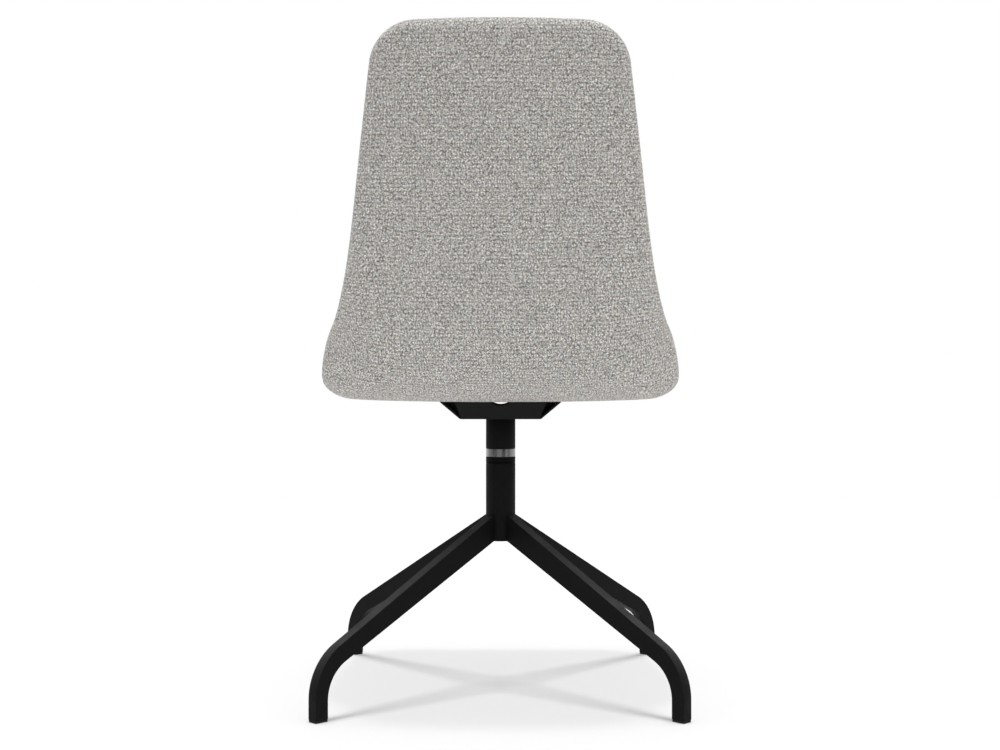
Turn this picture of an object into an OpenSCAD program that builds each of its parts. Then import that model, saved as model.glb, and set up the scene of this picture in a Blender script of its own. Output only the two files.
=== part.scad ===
// Swivel dining chair: an upholstered one-piece shell on a short column with four splayed legs.
// The origin is on the floor, on the swivel axis. The chair faces -Y, +X is the sitter's left, +Z is up.

/* [Column] */
// Outer diameter of the column, the swivel rings and the seat tube
column_d = 40; // [36:1:46]
// Wall of the column and of the seat tube
column_wall = 2.5; // [2:0.5:3]
// Height of the column's lower end above the floor
column_z = 196.5; // [180:0.5:215]
// Length of the column
column_len = 104.5; // [95:0.5:130]
// Height of the cap pushed into the column's lower end
cap_h = 10; // [6:1:12]

/* [Legs] */
// Distance from the swivel axis to the outer face of a foot
leg_reach = 321; // [300:1:345]
// Width of a leg across its flat sides
leg_w = 15; // [12:1:20]
// Wall of the leg tube
leg_wall = 2; // [1.5:0.5:3]
// Upright depth of a leg where it meets the column
leg_root_h = 35; // [30:1:42]
// Level depth of a leg at its foot
leg_foot_t = 18.5; // [16:0.5:22]
// Height at which the upper edge would meet the foot's outer face without its bend
leg_knee_z = 70; // [60:1:80]
// Height at which the lower edge would meet the foot's inner face without its bend
leg_crook_z = 56; // [50:1:66]
// Radius of the bend on the upper edge
leg_knee_r = 72; // [50:1:80]
// Radius of the bend on the lower edge
leg_crook_r = 50; // [35:1:60]

/* [Glides] */
// Thickness of the glide under each foot
glide_t = 3; // [2:0.5:5]
// Length of the spigot that holds a glide in its foot
glide_spigot = 14; // [8:1:18]
// How far the glide's edge stands back from the foot's faces
glide_inset = 0.5; // [0:0.1:1]

/* [Swivel] */
// Diameter of the spindle in its bushes
spindle_d = 25; // [20:1:26]
// Running clearance of the spindle in its bushes, on the radius
run_fit = 0.05; // [0.02:0.01:0.1]
// Clearance of pieces pushed into a bore, on the radius
push_fit = 0.05; // [0.02:0.01:0.1]
// Length of each bush inside the column
bush_len = 28; // [20:1:34]
// Height of the lower bush above the column's lower end
bush_rise = 22; // [20:1:26]
// Height of the shadow groove under the upper bush's rim
groove_h = 1.5; // [1:0.5:4]
// Depth of the shadow groove
groove_depth = 0.3; // [0.2:0.1:1]
// Height of the upper bush's rim
rim_h = 7.5; // [5:0.5:10]
// Height of the steel collar
collar_h = 11.2; // [8:0.2:15]
// Chamfer on the edges of the collar and the bush's rim
ring_chamfer = 0.4; // [0.2:0.1:0.8]
// Length of the spindle's head inside the seat tube
head_len = 32; // [20:1:36]
// Thickness of the retaining washer
washer_t = 1.5; // [1:0.5:2.5]
// Thickness of the retaining clip
clip_t = 1.2; // [1:0.1:1.6]
// Depth of the clip's groove in the spindle
clip_depth = 1; // [0.6:0.1:1.5]
// Width of the retaining clip's ring
clip_w = 3.5; // [2.5:0.5:4]
// Opening of the retaining clip, in degrees
clip_gap = 50; // [30:5:90]
// Length of the spindle below its clip
spindle_tail = 3.6; // [2:0.2:6]
// Axial play of the swivel
end_play = 0.2; // [0.1:0.05:0.5]

/* [Bracket] */
// Length of the seat tube between the collar and the bracket
seat_tube_len = 41.1; // [38:0.1:60]
// Thickness of the bracket's sheet
pan_t = 3; // [2:0.5:4]
// Width of the bracket's flat floor between its side flanges
pan_w = 108; // [100:1:120]
// Length of the bracket's flat floor, front to back
pan_l = 104; // [96:1:120]
// Outer height of the bracket
pan_h = 22.7; // [18:0.1:30]
// How far each side flange leans out
side_spread = 27; // [15:1:32]
// How far the front and rear flanges lean out
end_spread = 12; // [6:1:18]
// Width of the rear flange at the floor
rear_low_w = 103; // [96:1:106]
// Width of the rear flange at its upper edge
rear_top_w = 122; // [110:1:134]
// Radius of the notch in the front and rear flanges
notch_r = 22; // [16:1:28]
// Depth of that notch
notch_depth = 4.4; // [3:0.2:7]
// Hole in the middle of the bracket's floor
pan_hole_d = 20; // [12:1:26]

/* [Fasteners] */
// Distance from the swivel axis to a screw, in X and in Y
screw_offset = 36; // [32:1:40]
// Diameter of the screw's shank
screw_d = 6; // [5:1:6]
// Diameter of the countersunk head
screw_head_d = 12; // [11:0.5:13]
// Diameter of the spacer sleeve round each screw
spacer_d = 14; // [12:1:16]
// Diameter of a threaded insert's barrel
insert_d = 8.4; // [8:0.2:9]
// Diameter of a threaded insert's flange
insert_flange_d = 19; // [16:1:22]
// Thickness of a threaded insert's flange
insert_flange_t = 1.5; // [1:0.5:2]
// Diameter of the wrench socket in the screw head
socket_d = 4; // [3:0.5:5]
// Depth of that socket
socket_depth = 2; // [1:0.5:2.5]
// Clearance of a screw in the bracket and in its spacer, on the radius
screw_play = 0.2; // [0.1:0.1:0.4]
// Thickness of core left under a threaded insert's barrel
insert_rest = 1; // [0.5:0.5:3]

/* [Shell] */
// Length of the seat ahead of the swivel axis
seat_front = 252; // [236:1:285]
// Distance behind the axis at which the seat starts to bend up
bend_y = 66; // [66:1:100]
// Radius of the bend between seat and back
bend_r = 105; // [95:1:125]
// Lean of the back from upright, in degrees
recline = 12; // [8:1:18]
// Length of the straight part of the back
back_len = 373; // [330:1:420]
// How far the seat's front edge rises
front_rise = 12; // [4:1:18]
// Length of the rising part of the seat
rise_len = 216; // [160:1:216]
// How far the seat's front nose drops
nose_drop = 14; // [6:1:18]
// Length of the nose
nose_len = 80; // [60:1:100]
// Half width of the seat at its front edge
front_half_w = 205; // [190:1:215]
// Half width of the seat at its widest
seat_half_w = 229; // [216:1:240]
// Half width of the back at its top
top_half_w = 152; // [140:1:165]
// Radius of the seat's front corners
front_corner_r = 75; // [60:1:90]
// Radius of the back's top corners
top_corner_r = 54; // [45:1:70]
// How far the top edge arches up in the middle
top_arch = 2; // [1:1:10]
// Radius of the upturned sides beside the sitter's hips
wing_r = 50; // [45:1:60]
// Radius of the seat's slight hollow from side to side
seat_dish_r = 6000; // [4000:500:9000]
// Radius of the back's hollow from side to side
back_dish_r = 700; // [600:50:1000]

/* [Upholstery] */
// Thickness of the moulded core
core_t = 10; // [8:1:12]
// Thickness of the cover fabric
fabric_t = 2; // [1:0.5:2.5]
// Thickness of the foam behind the core
rear_foam_t = 8; // [6:1:12]
// Thickness of the foam on the sitter's side next to the edge
front_foam_t = 10; // [8:1:14]
// Extra height of the seat foam in its middle
seat_crown = 36; // [20:1:45]
// Extra depth of the back foam in its middle
back_crown = 12; // [6:1:18]
// Width of the rounded edge
edge_r = 18; // [14:1:22]
// Width over which the crown rises behind the edge
crown_w = 110; // [80:5:130]
// Height of the edge seam in front of the core's middle
seam_lift = 3; // [1:1:4]
// Space between layers that lie on each other
layer_gap = 0.3; // [0.2:0.1:0.5]

/* [Hidden] */
$fn = 96;

// Cuts run this far past the faces they go through
over = 1;

// Heights along the axis, from the floor up
column_r = column_d / 2;
bore_d = column_d - 2 * column_wall;
column_top = column_z + column_len;
rim_z = column_top + groove_h;
collar_z = rim_z + rim_h;
seat_tube_z = collar_z + collar_h;
pan_z = seat_tube_z + seat_tube_len;
lower_bush_z = column_z + bush_rise;
washer_z = lower_bush_z - end_play - washer_t;
clip_z = washer_z - end_play - clip_t;
spindle_z = clip_z - spindle_tail;
rear_t = core_t / 2 + rear_foam_t + fabric_t;
front_t = core_t / 2 + front_foam_t + fabric_t;
seat_z = pan_z + pan_h + layer_gap + rear_t;
core_z = seat_z - core_t / 2;
core_top = seat_z + core_t / 2;

// Plan angles of the legs, from +X
leg_angles = [-45, 45, 135, 225];

// Leg edges as straight lines z = height - slope * (r - start), before their bends
knee_slope = (column_z + leg_root_h - leg_knee_z) / (leg_reach - column_r);
crook_slope = (column_z - leg_crook_z) / (leg_reach - leg_foot_t - column_r);

// A point on a sloping leg edge at a distance r from the axis
function on_edge(r, at_r, at_z, slope) = [r, at_z - slope * (r - at_r)];

// The arc that eases a corner between a sloping edge and an upright one: its ends and its centre
function arc_arm(slope, r) = r * tan((90 - atan(slope)) / 2);
function arc_up(corner, slope, r) = corner + arc_arm(slope, r) * [-cos(atan(slope)), sin(atan(slope))];
function arc_down(corner, slope, r) = corner - [0, arc_arm(slope, r)];
function arc_centre(corner, slope, r) = arc_down(corner, slope, r) - [r, 0];

// Side outline of a leg, drawn in by a wall: distance from the axis to the right, height up
module leg_outline(inset, bottom) {
    knee_turn = 1 / cos(atan(knee_slope)) - knee_slope;
    crook_turn = 1 / cos(atan(crook_slope)) - crook_slope;
    knee = [leg_reach - inset, leg_knee_z - inset * knee_turn];
    crook = [leg_reach - leg_foot_t + inset, leg_crook_z + inset * crook_turn];
    knee_r = leg_knee_r - inset;
    crook_r = leg_crook_r + inset;
    start = column_r / 2;
    difference() {
        polygon([
            on_edge(start, knee[0], knee[1], knee_slope), knee, [knee[0], bottom], [crook[0], bottom],
            arc_down(crook, crook_slope, crook_r), arc_centre(crook, crook_slope, crook_r),
            arc_up(crook, crook_slope, crook_r), on_edge(start, crook[0], crook[1], crook_slope)
        ]);
        translate(arc_centre(crook, crook_slope, crook_r)) circle(r = crook_r);
        difference() {
            polygon([
                knee + over * [1, 1], arc_up(knee, knee_slope, knee_r) + [0, over],
                arc_centre(knee, knee_slope, knee_r), arc_down(knee, knee_slope, knee_r) + [over, 0]
            ]);
            translate(arc_centre(knee, knee_slope, knee_r)) circle(r = knee_r);
        }
    }
}

// One leg: a flat-sided tube, coped to the column and open at the foot
module leg(angle) {
    color("#1b1b1c") difference() {
        rotate([0, 0, angle]) difference() {
            rotate([90, 0, 0]) translate([0, 0, -leg_w / 2])
                linear_extrude(leg_w) leg_outline(0, glide_t);
            rotate([90, 0, 0]) translate([0, 0, leg_wall - leg_w / 2])
                linear_extrude(leg_w - 2 * leg_wall) leg_outline(leg_wall, glide_t - over);
        }
        translate([0, 0, column_z - leg_root_h])
            cylinder(d = column_d, h = 3 * leg_root_h);
    }
}

// One glide: a pad under the foot with a spigot that plugs it
module glide(angle) {
    pad = [leg_foot_t, leg_w] - 2 * glide_inset * [1, 1];
    plug = [leg_foot_t, leg_w] - 2 * (leg_wall + push_fit) * [1, 1];
    color("#0f0f10") rotate([0, 0, angle]) translate([leg_reach - leg_foot_t / 2, 0, 0]) union() {
        translate([-pad[0] / 2, -pad[1] / 2, 0]) cube([pad[0], pad[1], glide_t]);
        translate([-plug[0] / 2, -plug[1] / 2, glide_t - over])
            cube([plug[0], plug[1], glide_spigot + over]);
    }
}

// The column tube that the legs are welded to
module base_column() {
    color("#1b1b1c") translate([0, 0, column_z]) difference() {
        cylinder(d = column_d, h = column_len);
        translate([0, 0, -over]) cylinder(d = bore_d, h = column_len + 2 * over);
    }
}

// The cap that closes the column's lower end
module column_cap() {
    color("#0f0f10") translate([0, 0, column_z]) difference() {
        cylinder(d = bore_d - 2 * push_fit, h = cap_h);
        translate([0, 0, column_wall])
            cylinder(d = bore_d - 2 * column_wall, h = cap_h);
    }
}

module lower_bush() {
    color("#2a2a2c") translate([0, 0, lower_bush_z]) difference() {
        cylinder(d = bore_d - 2 * push_fit, h = bush_len);
        translate([0, 0, -over]) cylinder(d = spindle_d + 2 * run_fit, h = bush_len + 2 * over);
    }
}

// A bush with a rim that stands on the column, over a shadow groove
module upper_bush() {
    bush_r = bore_d / 2 - push_fit;
    hole_r = spindle_d / 2 + run_fit;
    color("#161617") rotate_extrude() polygon([
        [hole_r, column_top - bush_len], [bush_r, column_top - bush_len], [bush_r, column_top],
        [column_r - groove_depth, column_top], [column_r - groove_depth, rim_z], [column_r, rim_z],
        [column_r, collar_z - ring_chamfer], [column_r - ring_chamfer, collar_z], [hole_r, collar_z]
    ]);
}

module retaining_washer() {
    color("#8a8d90") translate([0, 0, washer_z]) difference() {
        cylinder(d = bore_d - 2 * clip_depth, h = washer_t);
        translate([0, 0, -over]) cylinder(d = spindle_d + 2 * clip_depth, h = washer_t + 2 * over);
    }
}

// The open spring clip in the spindle's groove
module retaining_clip() {
    inner_r = spindle_d / 2 - clip_depth + push_fit;
    color("#5c5f62") translate([0, 0, clip_z]) rotate([0, 0, clip_gap / 2])
        rotate_extrude(angle = 360 - clip_gap)
            translate([inner_r, 0]) square([clip_w, clip_t]);
}

// The turned spindle: a head fixed in the seat tube and a shank that turns in the bushes
module spindle() {
    shank_r = spindle_d / 2;
    head_r = bore_d / 2 - push_fit;
    neck_r = shank_r - clip_depth;
    color("#8f9296") rotate_extrude() polygon([
        [0, spindle_z], [shank_r - clip_depth, spindle_z], [shank_r, spindle_z + clip_depth],
        [shank_r, clip_z - push_fit], [neck_r, clip_z - push_fit],
        [neck_r, clip_z + clip_t + push_fit], [shank_r, clip_z + clip_t + push_fit],
        [shank_r, seat_tube_z], [head_r, seat_tube_z],
        [head_r, seat_tube_z + head_len], [0, seat_tube_z + head_len]
    ]);
}

// The bright ring between the column and the seat tube
module bearing_collar() {
    hole_r = spindle_d / 2 + push_fit;
    color("#a9acae") rotate_extrude() polygon([
        [hole_r, collar_z], [column_r - ring_chamfer, collar_z], [column_r, collar_z + ring_chamfer],
        [column_r, seat_tube_z - ring_chamfer], [column_r - ring_chamfer, seat_tube_z], [hole_r, seat_tube_z]
    ]);
}

module seat_tube() {
    color("#1b1b1c") translate([0, 0, seat_tube_z]) difference() {
        cylinder(d = column_d, h = seat_tube_len);
        translate([0, 0, -over]) cylinder(d = bore_d, h = seat_tube_len + 2 * over);
    }
}

// Section of the folded tray: a flat floor with flanges that lean out by spread, u along, v up
module tray_section(floor_w, spread) {
    lean = sqrt(spread * spread + pan_h * pan_h);
    shift = pan_t * lean / pan_h;
    turn = pan_t * (lean - spread) / pan_h;
    half = floor_w / 2;
    polygon([
        [-half, 0], [half, 0], [half + spread, pan_h], [half + spread - shift, pan_h],
        [half - turn, pan_t], [-half + turn, pan_t], [-half - spread + shift, pan_h], [-half - spread, pan_h]
    ]);
}

// One end of the tray, from start along the depth, cut to a width at the floor and one at the top
module tray_end(start, low_w, top_w) {
    widest = max(low_w, top_w);
    intersection() {
        rotate([90, 0, 90]) translate([0, 0, -widest / 2])
            linear_extrude(widest) tray_section(pan_l, end_spread);
        rotate([90, 0, 0]) translate([0, 0, start]) linear_extrude(pan_l)
            polygon([[-low_w / 2, 0], [low_w / 2, 0], [top_w / 2, pan_h], [-top_w / 2, pan_h]]);
    }
}

module at_screws() {
    for (x = [-1, 1], y = [-1, 1]) translate([x * screw_offset, y * screw_offset, 0]) children();
}

// The folded sheet bracket under the seat, with notched ends and countersunk screw holes
module seat_bracket() {
    sheet_edge = pan_l - 2 * pan_t;
    hole_d = screw_d + 2 * screw_play;
    color("#1d1d1e") difference() {
        translate([0, 0, pan_z]) union() {
            rotate([90, 0, 0]) translate([0, 0, -sheet_edge / 2])
                linear_extrude(sheet_edge) tray_section(pan_w, side_spread);
            tray_end(0, pan_w, pan_w + 2 * side_spread);
            tray_end(-pan_l, rear_low_w, rear_top_w);
        }
        translate([0, 0, pan_z + pan_h + notch_r - notch_depth]) rotate([90, 0, 0])
            cylinder(r = notch_r, h = 2 * pan_l, center = true);
        translate([0, 0, pan_z - over]) cylinder(d = pan_hole_d, h = pan_t + 2 * over);
        at_screws() {
            translate([0, 0, pan_z - over]) cylinder(d = hole_d, h = pan_t + 2 * over);
            translate([0, 0, pan_z - over]) cylinder(
                d1 = screw_head_d + 2 * (push_fit + over), d2 = hole_d,
                h = (screw_head_d - screw_d) / 2 + over);
        }
    }
}

// Four countersunk screws, heads flush with the bracket's underside
module bracket_screws() {
    cone_h = (screw_head_d - screw_d) / 2;
    end_z = core_top + insert_flange_t;
    color("#3a3b3d") at_screws() translate([0, 0, pan_z]) difference() {
        union() {
            cylinder(d1 = screw_head_d, d2 = screw_d, h = cone_h);
            cylinder(d = screw_d, h = end_z - pan_z);
        }
        translate([0, 0, -over]) cylinder(d = socket_d, h = socket_depth + over, $fn = 6);
    }
}

// Four sleeves that carry the core on the bracket's floor
module screw_spacers() {
    color("#202022") at_screws() translate([0, 0, pan_z + pan_t]) difference() {
        cylinder(d = spacer_d, h = core_z - pan_z - pan_t);
        translate([0, 0, -over])
            cylinder(d = screw_d + 2 * screw_play, h = core_z - pan_z - pan_t + 2 * over);
    }
}

// Four threaded inserts, flanged on the sitter's side of the core
module threaded_inserts() {
    color("#9a9da0") at_screws() difference() {
        union() {
            translate([0, 0, core_z + insert_rest])
                cylinder(d = insert_d, h = core_t - insert_rest + 2 * layer_gap);
            translate([0, 0, core_top + 2 * layer_gap])
                cylinder(d = insert_flange_d, h = insert_flange_t);
        }
        translate([0, 0, core_z - over])
            cylinder(d = screw_d + 2 * push_fit, h = core_t + 2 * layer_gap + insert_flange_t + 2 * over);
    }
}

// Stations along the shell from the seat's front edge to the top of the back, as shares of its length
station_shares = [0, 0.19, 0.385, 0.523, 0.64, 0.81, 1];
// How far the width at the stations behind the widest one has still to narrow
narrowing_shares = [1, 0.767, 0.516, 0.268];
// Angle that the edge turns up at each station, in degrees
edge_angles = [26, 60, 60, 58, 31, 24, 10];
// Radius of the upturned side at each station
wing_shares = [1.8, 0.92, 1, 2.5, 3.1, 4.2, 4.6];
// How far the hollow has turned from the seat's to the back's at each station
dish_shares = [0, 0, 0.03, 0.4, 0.85, 1, 1];
// Height of the crown at its own stations, from seat to back
crown_station_shares = [0, 0.12, 0.35, 0.55, 0.7, 1];
seat_crown_shares = [0.8, 1, 1];
back_crown_shares = [1.3, 1, 0.7];

half_widths = concat([front_half_w, seat_half_w],
    [for (s = narrowing_shares) top_half_w + s * (seat_half_w - top_half_w)], [top_half_w]);
crowns = concat(seat_crown_shares * seat_crown, back_crown_shares * back_crown);

// A smooth curve through values at stations, read at f
function slope_at(xs, vs, i) =
    let(a = max(i - 1, 0), b = min(i + 1, len(xs) - 1)) (vs[b] - vs[a]) / (xs[b] - xs[a]);
function stretch_of(xs, f, i = 0) = i >= len(xs) - 2 || f < xs[i + 1] ? i : stretch_of(xs, f, i + 1);
function curve(xs, vs, f) =
    let(i = stretch_of(xs, f), w = xs[i + 1] - xs[i], u = (f - xs[i]) / w, rise = vs[i + 1] - vs[i],
        m = slope_at(xs, vs, i) * w, n = slope_at(xs, vs, i + 1) * w)
    vs[i] + u * (m + u * (3 * rise - 2 * m - n + u * (m + n - 2 * rise)));

// Centre line of the core in the YZ plane: seat, bend and back
bend_angle = 90 - recline;
seat_run = seat_front + bend_y;
bend_run = bend_r * bend_angle * PI / 180;
shell_run = seat_run + bend_run + back_len;

// Place and slope of the centre line at a run t from the front edge: [y, z, angle]
function centre(t) =
    t < seat_run ?
        let(q = max(rise_len - t, 0) / rise_len, p = max(nose_len - t, 0) / nose_len)
        [t - seat_front, seat_z + front_rise * q * q - nose_drop * p * p,
         atan(2 * nose_drop * p / nose_len - 2 * front_rise * q / rise_len)] :
    t < seat_run + bend_run ?
        let(a = bend_angle * (t - seat_run) / bend_run)
        [bend_y + bend_r * sin(a), seat_z + bend_r * (1 - cos(a)), a] :
        let(d = t - seat_run - bend_run)
        [bend_y + bend_r * sin(bend_angle) + d * cos(bend_angle),
         seat_z + bend_r * (1 - cos(bend_angle)) + d * sin(bend_angle), bend_angle];

// Cross section at t: [wing radius, dish radius, angle where the wing starts, edge angle, half run]
function section(t) =
    let(f = t / shell_run, half = curve(station_shares, half_widths, f),
        edge = curve(station_shares, edge_angles, f),
        r = wing_r * curve(station_shares, wing_shares, f),
        k = curve(station_shares, dish_shares, f),
        dish = 1 / ((1 - k) / seat_dish_r + k / back_dish_r),
        start = asin((half - r * sin(edge)) / (dish - r)))
    [r, dish, start, edge, (dish * start + r * (edge - start)) * PI / 180];

// Place and slope in a section at a run l from its middle: [x, height, angle]
function across(s, l) =
    let(flat = s[1] * s[2] * PI / 180)
    l > flat ?
        let(a = s[2] + (l - flat) / s[0] * 180 / PI)
        [s[1] * sin(s[2]) + s[0] * (sin(a) - sin(s[2])),
         s[1] * (1 - cos(s[2])) + s[0] * (cos(s[2]) - cos(a)), a] :
        let(a = l / s[1] * 180 / PI)
        [s[1] * sin(a), s[1] * (1 - cos(a)), a];

// How far a rounded corner cuts in at a distance q from the end, and the distance to its outline
function corner_cut(q, r) = let(p = r - min(max(q, 0), r)) r - sqrt(r * r - p * p);
function corner_reach(q, l, half, r) =
    q < r && l > half - r ? r - norm([r - q, l - half + r]) : min(q, half - l);

// Rings of the lattice near the edge, and its lines further in, as shares
ring_shares = [0, 0.134, 0.5];
column_shares = [1, 0.9, 0.8, 0.68, 0.52, 0.3];
row_shares = [0, 0.021, 0.047, 0.08, 0.13, 0.19, 0.25, 0.31, 0.36, 0.4, 0.435, 0.47, 0.505, 0.54,
    0.575, 0.625, 0.69, 0.76, 0.83, 0.9, 0.945, 0.98, 1];
rings = len(ring_shares);

// A ring's distance from the edge, when the edge itself is drawn in by inset
function ring_at(i, inset) = inset + ring_shares[i] * (edge_r - inset);
function row_runs(inset) = concat(
    [for (i = [0:rings - 1]) ring_at(i, inset)],
    [for (s = row_shares) edge_r + s * (shell_run - 2 * edge_r)],
    [for (i = [rings - 1:-1:0]) shell_run - ring_at(i, inset)]);
function column_runs(half, inset) =
    let(side = concat([for (i = [0:rings - 1]) half - ring_at(i, inset)],
        [for (s = column_shares) s * (half - edge_r)]), n = len(side))
    concat(-side, [0], [for (i = [n - 1:-1:0]) side[i]]);
row_count = len(row_shares) + 2 * rings;
column_count = 2 * (len(column_shares) + rings) + 1;

// Extra height of the foam's crown at a distance from the edge
function crown_at(t, reach) =
    let(u = min(reach / crown_w, 1), fall = 1 - u)
    max(curve(crown_station_shares, crowns, t / shell_run), 0) * (1 - fall * fall * sqrt(sqrt(fall)));

// Layers of the shell. Each gives its height over the core's middle at a reach from the drawn-in edge.
REAR = -1;
FRONT = 1;
function rounded(reach, r) = let(p = 1 - min(max(reach, 0) / r, 1)) sqrt(1 - p * p);
function skin_height(side, t, reach, inset) =
    let(full = side == REAR ? -rear_t + inset : front_t - inset, seam = seam_lift + side * layer_gap / 2)
    seam + (full - seam) * rounded(reach - inset, edge_r - inset)
        + (side == FRONT ? crown_at(t, reach) : 0);
// The face of the foam towards the core: flat at the seam outside the core, then along the core
function bed_height(side, i, j) =
    let(ring = min(i, j, row_count - 1 - i, column_count - 1 - j))
    ring < rings ? seam_lift + side * layer_gap / 2 : side * (core_t / 2 + layer_gap);

// A point of the lattice moved off the core's middle surface by a height
function shell_point(t, l, half, height) =
    let(share = l / half, arched = t - top_arch * share * share * pow(max(2 * t / shell_run - 1, 0), 3),
        c = centre(arched), s = across(section(t), abs(l)),
        up = s[1] + height * cos(s[2]), out = s[0] - height * sin(s[2]))
    [sign(l) * out, c[0] - sin(c[2]) * up, c[1] + cos(c[2]) * up];

// All points of one surface. kind is "skin" for a rounded outer surface, "bed" along the core, "core" for
// the core itself
function surface_points(kind, side, inset) =
    let(runs = row_runs(inset))
    [for (i = [0:row_count - 1])
        let(t = runs[i], s = section(t), full = s[4],
            half = full - corner_cut(t, front_corner_r) - corner_cut(shell_run - t, top_corner_r),
            columns = column_runs(half, inset))
        [for (j = [0:column_count - 1])
            let(l = columns[j], a = abs(l),
                reach = min(corner_reach(t, a, full, front_corner_r),
                    corner_reach(shell_run - t, a, full, top_corner_r)),
                height = kind == "skin" ? skin_height(side, t, reach, inset) :
                    kind == "bed" ? bed_height(side, i, j) : side * core_t / 2)
            shell_point(t, l, half, height)]];

// The part of a surface inside its outermost rings
function inner_part(points) =
    [for (i = [rings:row_count - 1 - rings]) [for (j = [rings:column_count - 1 - rings]) points[i][j]]];

// A closed solid between an upper and a lower surface on the same lattice
module between(upper, lower) {
    rows = len(upper);
    columns = len(upper[0]);
    count = rows * columns;
    function at(i, j) = i * columns + j;
    rim = concat(
        [for (j = [0:columns - 2]) at(0, j)], [for (i = [0:rows - 2]) at(i, columns - 1)],
        [for (j = [columns - 1:-1:1]) at(rows - 1, j)], [for (i = [rows - 1:-1:1]) at(i, 0)]);
    rim_count = len(rim);
    cells = [for (i = [0:rows - 2], j = [0:columns - 2])
        [at(i, j), at(i, j + 1), at(i + 1, j + 1), at(i + 1, j)]];
    polyhedron(
        points = [for (surface = [upper, lower], row = surface, p = row) p],
        faces = concat(
            [for (c = cells) [c[2], c[1], c[0]]], [for (c = cells) [c[3], c[2], c[0]]],
            [for (c = cells) [c[0] + count, c[1] + count, c[2] + count]],
            [for (c = cells) [c[0] + count, c[2] + count, c[3] + count]],
            [for (k = [0:rim_count - 1]) [rim[k], rim[(k + 1) % rim_count], rim[k] + count]],
            [for (k = [0:rim_count - 1])
                [rim[(k + 1) % rim_count], rim[(k + 1) % rim_count] + count, rim[k] + count]]),
        convexity = 6);
}

// The moulded core, stiff inner shell of seat and back, drilled for the inserts
module shell_core() {
    color("#c8b489") difference() {
        between(inner_part(surface_points("core", FRONT, 0)), inner_part(surface_points("core", REAR, 0)));
        at_screws() translate([0, 0, core_z - core_t]) cylinder(d = insert_d + 4 * push_fit, h = 3 * core_t);
    }
}

// Thin foam behind and under the core, cut out round the spacers
module rear_foam() {
    color("#e6dfc8") difference() {
        between(surface_points("bed", REAR, 2 * fabric_t + layer_gap),
            surface_points("skin", REAR, fabric_t + layer_gap));
        at_screws() translate([0, 0, core_z - 2 * rear_foam_t])
            cylinder(d = spacer_d + 2 * layer_gap, h = 3 * rear_foam_t);
    }
}

// Seat and back foam on the sitter's side, with pockets over the inserts
module front_foam() {
    color("#efe8d2") difference() {
        between(surface_points("skin", FRONT, fabric_t + layer_gap),
            surface_points("bed", FRONT, 2 * fabric_t + layer_gap));
        at_screws() translate([0, 0, core_top - core_t])
            cylinder(d = insert_flange_d + 2 * layer_gap, h = core_t + 2 * layer_gap + 2 * insert_flange_t);
    }
}

// Cover fabric of the back and the underside, cut out round the spacers
module rear_cover() {
    color("#a5a3a0") difference() {
        between(surface_points("skin", REAR, fabric_t), surface_points("skin", REAR, 0));
        at_screws() translate([0, 0, core_z - 2 * rear_foam_t])
            cylinder(d = spacer_d + 2 * layer_gap, h = 2 * rear_foam_t);
    }
}

// Cover fabric of the sitter's side
module front_cover() {
    color("#a5a3a0") between(surface_points("skin", FRONT, 0), surface_points("skin", FRONT, fabric_t));
}

base_column();
column_cap();
leg(leg_angles[0]);  // leg_front_left
leg(leg_angles[3]);  // leg_front_right
leg(leg_angles[1]);  // leg_rear_left
leg(leg_angles[2]);  // leg_rear_right
glide(leg_angles[0]);  // glide_front_left
glide(leg_angles[3]);  // glide_front_right
glide(leg_angles[1]);  // glide_rear_left
glide(leg_angles[2]);  // glide_rear_right
lower_bush();
upper_bush();
retaining_washer();
retaining_clip();
spindle();
bearing_collar();
seat_tube();
seat_bracket();
bracket_screws();
screw_spacers();
threaded_inserts();
shell_core();
rear_foam();
front_foam();
rear_cover();
front_cover();
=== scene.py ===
"""Looks of an upholstered swivel dining chair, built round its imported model.

The chair faces -Y, +X is the sitter's left and +Z is up. All lengths are in metres.
"""

import logging
import math
from collections.abc import Callable
from dataclasses import dataclass
from enum import Enum
from functools import cached_property

import bmesh
import bpy
import numpy as np
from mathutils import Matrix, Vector


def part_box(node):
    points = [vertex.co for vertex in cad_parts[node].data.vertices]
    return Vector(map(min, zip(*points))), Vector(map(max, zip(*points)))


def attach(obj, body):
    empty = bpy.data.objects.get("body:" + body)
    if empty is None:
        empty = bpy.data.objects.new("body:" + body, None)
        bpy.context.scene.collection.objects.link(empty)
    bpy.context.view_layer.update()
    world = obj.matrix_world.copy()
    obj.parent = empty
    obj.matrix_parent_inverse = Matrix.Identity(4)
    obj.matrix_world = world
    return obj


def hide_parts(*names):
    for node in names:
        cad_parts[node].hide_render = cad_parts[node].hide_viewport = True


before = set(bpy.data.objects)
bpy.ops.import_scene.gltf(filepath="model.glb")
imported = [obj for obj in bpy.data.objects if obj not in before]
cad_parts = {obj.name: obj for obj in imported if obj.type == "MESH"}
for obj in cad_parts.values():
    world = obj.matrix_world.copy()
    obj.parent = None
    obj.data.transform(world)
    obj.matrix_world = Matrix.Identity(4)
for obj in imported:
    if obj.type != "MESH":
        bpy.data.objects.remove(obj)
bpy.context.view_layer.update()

log = logging.getLogger("swivel_chair")

Colour = tuple[float, float, float]
Levels = tuple[tuple[float, float], ...]
Heights = Callable[[np.ndarray, np.ndarray], np.ndarray]

MM = 0.001
# Places closer than this are one place.
MERGE = 1e-5
# Keeps a length off zero before something is divided by it.
NO_LENGTH = 1e-9
# Nearly all values of a noise lie between these two.
NOISE_LOW = 0.3
NOISE_HIGH = 0.7

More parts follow.
